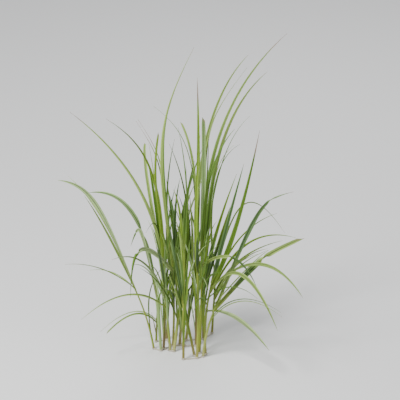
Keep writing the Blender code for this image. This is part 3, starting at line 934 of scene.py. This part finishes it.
for number, stalk in enumerate(STALKS, 1):
    tops = sorted({blade.collar for blade in stalk.blades})
    tops = sorted({tops[0], tops[len(tops) // 2], 1.0})[:SHEATH_MOST]
    meshes = [core_mesh(stalk)]
    for layer, top in enumerate(tops):
        meshes.append(sheath_mesh(stalk, top, layer, lot.uniform(0, 2 * math.pi)))
    body_look, foot_look, foot_share = STALK_LOOKS[number - 1]
    body_colour = STALK_COLOURS[body_look]
    ends = {
        "foot_colour": FOOT_COLOURS[foot_look],
        "head_colour": FROSTY_HEAD_COLOUR if body_look == "frosty" else STALK_HEAD_COLOUR,
    }
    cut_share = CUT_END_LENGTH / stalk_point(stalk, 1).z
    for mesh in meshes:
        mark(mesh, varied(body_colour, lot), (lot.random(), foot_share, cut_share))
        for name, end_colour in ends.items():
            paint(mesh, name, end_colour)
    piece = one_piece(f"stalk_{number:02}_sheaths", meshes, stalk_surface)
    bpy.ops.object.shade_smooth_by_angle(angle=SMOOTH_ANGLE)
    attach(piece, "root")
    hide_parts(f"stalk_{number:02}")
bpy.data.objects.remove(rod, do_unlink=True)
bpy.data.objects.remove(sheet, do_unlink=True)

# Crown
# The crown is the clump's short woody rhizome, which its stalks grow from: lumpy, pale brown
# and marked with old leaf scars. It is one piece, shaped from the frame's own crown.
CROWN_VOXEL = 1.3 * MM
CROWN_LUMP = 1.1 * MM
CROWN_LUMP_SIZE = 9 * MM
CROWN_SMOOTHING = 3
CROWN_DARK = (0.46, 0.41, 0.30)
CROWN_PALE = (0.66, 0.61, 0.49)
MOTTLE_SCALE = 160
SCAR_SCALE = 130
SCAR_WIDTH = 1 / 7
SCAR_SHADES = (0.7, 0.35)
SCAR_DEPTH = 0.8 * MM
SCAR_RELIEF = 0.6
CROWN_ROUGHNESS = 0.8
SAME_POINT = 0.01 * MM

crown_surface, tree, sockets = new_surface("rhizome_brown")
object_place = tree.nodes.new("ShaderNodeTexCoord").outputs["Object"]
mottle = noise(tree, object_place, MOTTLE_SCALE, detail=4)
scars = tree.nodes.new("ShaderNodeTexVoronoi")
scars.feature = "DISTANCE_TO_EDGE"
feed(tree, scars.inputs["Vector"], object_place)
feed(tree, scars.inputs["Scale"], SCAR_SCALE)
off_scar = rising(tree, scars.outputs["Distance"], 0, SCAR_WIDTH)
colour = tinted(tree, CROWN_DARK, CROWN_PALE, mottle)
feed(tree, sockets["Base Color"], shaded(tree, colour, off_scar, *SCAR_SHADES))
feed(tree, sockets["Roughness"], CROWN_ROUGHNESS)
relief(tree, sockets, off_scar, SCAR_RELIEF, SCAR_DEPTH)

crown_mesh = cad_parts["crown"].data.copy()
crown = bpy.data.objects.new("crown_rhizome", crown_mesh)
bpy.context.scene.collection.objects.link(crown)
bpy.ops.object.select_all(action="DESELECT")
crown.select_set(True)
bpy.context.view_layer.objects.active = crown
bpy.ops.object.mode_set(mode="EDIT")
bpy.ops.mesh.select_all(action="SELECT")
bpy.ops.mesh.remove_doubles(threshold=SAME_POINT)
bpy.ops.object.mode_set(mode="OBJECT")
even = crown.modifiers.new("even", "REMESH")
even.mode = "VOXEL"
even.voxel_size = CROWN_VOXEL
bpy.ops.object.modifier_apply(modifier=even.name)
lumps = bpy.data.textures.new("lumps", "CLOUDS")
lumps.noise_scale = CROWN_LUMP_SIZE
uneven = crown.modifiers.new("uneven", "DISPLACE")
uneven.texture = lumps
uneven.strength = -CROWN_LUMP
uneven.mid_level = 0
bpy.ops.object.modifier_apply(modifier=uneven.name)
soft = crown.modifiers.new("soft", "SMOOTH")
soft.iterations = CROWN_SMOOTHING
bpy.ops.object.modifier_apply(modifier=soft.name)
for vertex in crown.data.vertices:
    vertex.co.z = max(0, vertex.co.z)
crown.data.materials.clear()
crown.data.materials.append(crown_surface)
bpy.ops.object.shade_smooth()
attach(crown, "root")
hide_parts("crown")

# Floor, light and camera
# A plain pale floor, a soft light from the upper left with weaker ones from the right and from
# behind, and a long lens that looks down on the clump as the photo does.
FLOOR_SIZE = 80
FLOOR_DROP = 0.2 * MM
FLOOR_COLOUR = (0.85, 0.85, 0.84)
FLOOR_ROUGHNESS = 0.9
# The picture's size in pixels, and a pixel's in millimetres. The picture's middle is so many
# pixels right of the crown's and above it.
PICTURE_PIXELS = 400
PIXEL = 3.1
PICTURE_WIDTH = PICTURE_PIXELS * PIXEL * MM
PICTURE_CENTRE_ACROSS = 16 * PIXEL
PICTURE_CENTRE_UP = 147 * PIXEL
CAMERA_DISTANCE = 40
SENSOR = 36
STUDIO_COLOUR = (0.93, 0.95, 1.0)
STUDIO_STRENGTH = 0.42

bpy.ops.object.select_all(action="DESELECT")
bpy.ops.mesh.primitive_plane_add(size=FLOOR_SIZE, location=(0, 0, -FLOOR_DROP))
floor = bpy.context.object
floor.name = "floor"
floor_surface, tree, sockets = new_surface("floor_pale")
feed(tree, sockets["Base Color"], FLOOR_COLOUR)
feed(tree, sockets["Roughness"], FLOOR_ROUGHNESS)
floor.data.materials.append(floor_surface)

centre = place(PICTURE_CENTRE_ACROSS, PICTURE_CENTRE_UP, 0)
camera_data = bpy.data.cameras.new("camera")
camera_data.sensor_width = SENSOR
camera_data.lens = SENSOR * CAMERA_DISTANCE / PICTURE_WIDTH
camera = bpy.data.objects.new("camera", camera_data)
camera.location = centre + TOWARDS_VIEW * CAMERA_DISTANCE
camera.rotation_euler = (-TOWARDS_VIEW).to_track_quat("-Z", "Y").to_euler()
bpy.context.scene.collection.objects.link(camera)
bpy.context.scene.camera = camera


def soft_light(name, location, size, power):
    """A square soft light that faces the clump."""
    data = bpy.data.lights.new(name, "AREA")
    data.size = size
    data.energy = power
    light = bpy.data.objects.new(name, data)
    light.location = location
    light.rotation_euler = (centre - light.location).to_track_quat("-Z", "Y").to_euler()
    bpy.context.scene.collection.objects.link(light)


soft_light("key", Vector((-1.5, -1.7, 3.4)), size=1.0, power=200)
soft_light("fill", Vector((2.6, -1.8, 1.6)), size=2.0, power=18)
soft_light("back", Vector((0.6, 2.6, 2.4)), size=1.6, power=34)
world = bpy.data.worlds.new("studio")
world.use_nodes = True
background = world.node_tree.nodes["Background"].inputs
feed(world.node_tree, background["Color"], STUDIO_COLOUR)
feed(world.node_tree, background["Strength"], STUDIO_STRENGTH)
bpy.context.scene.world = world
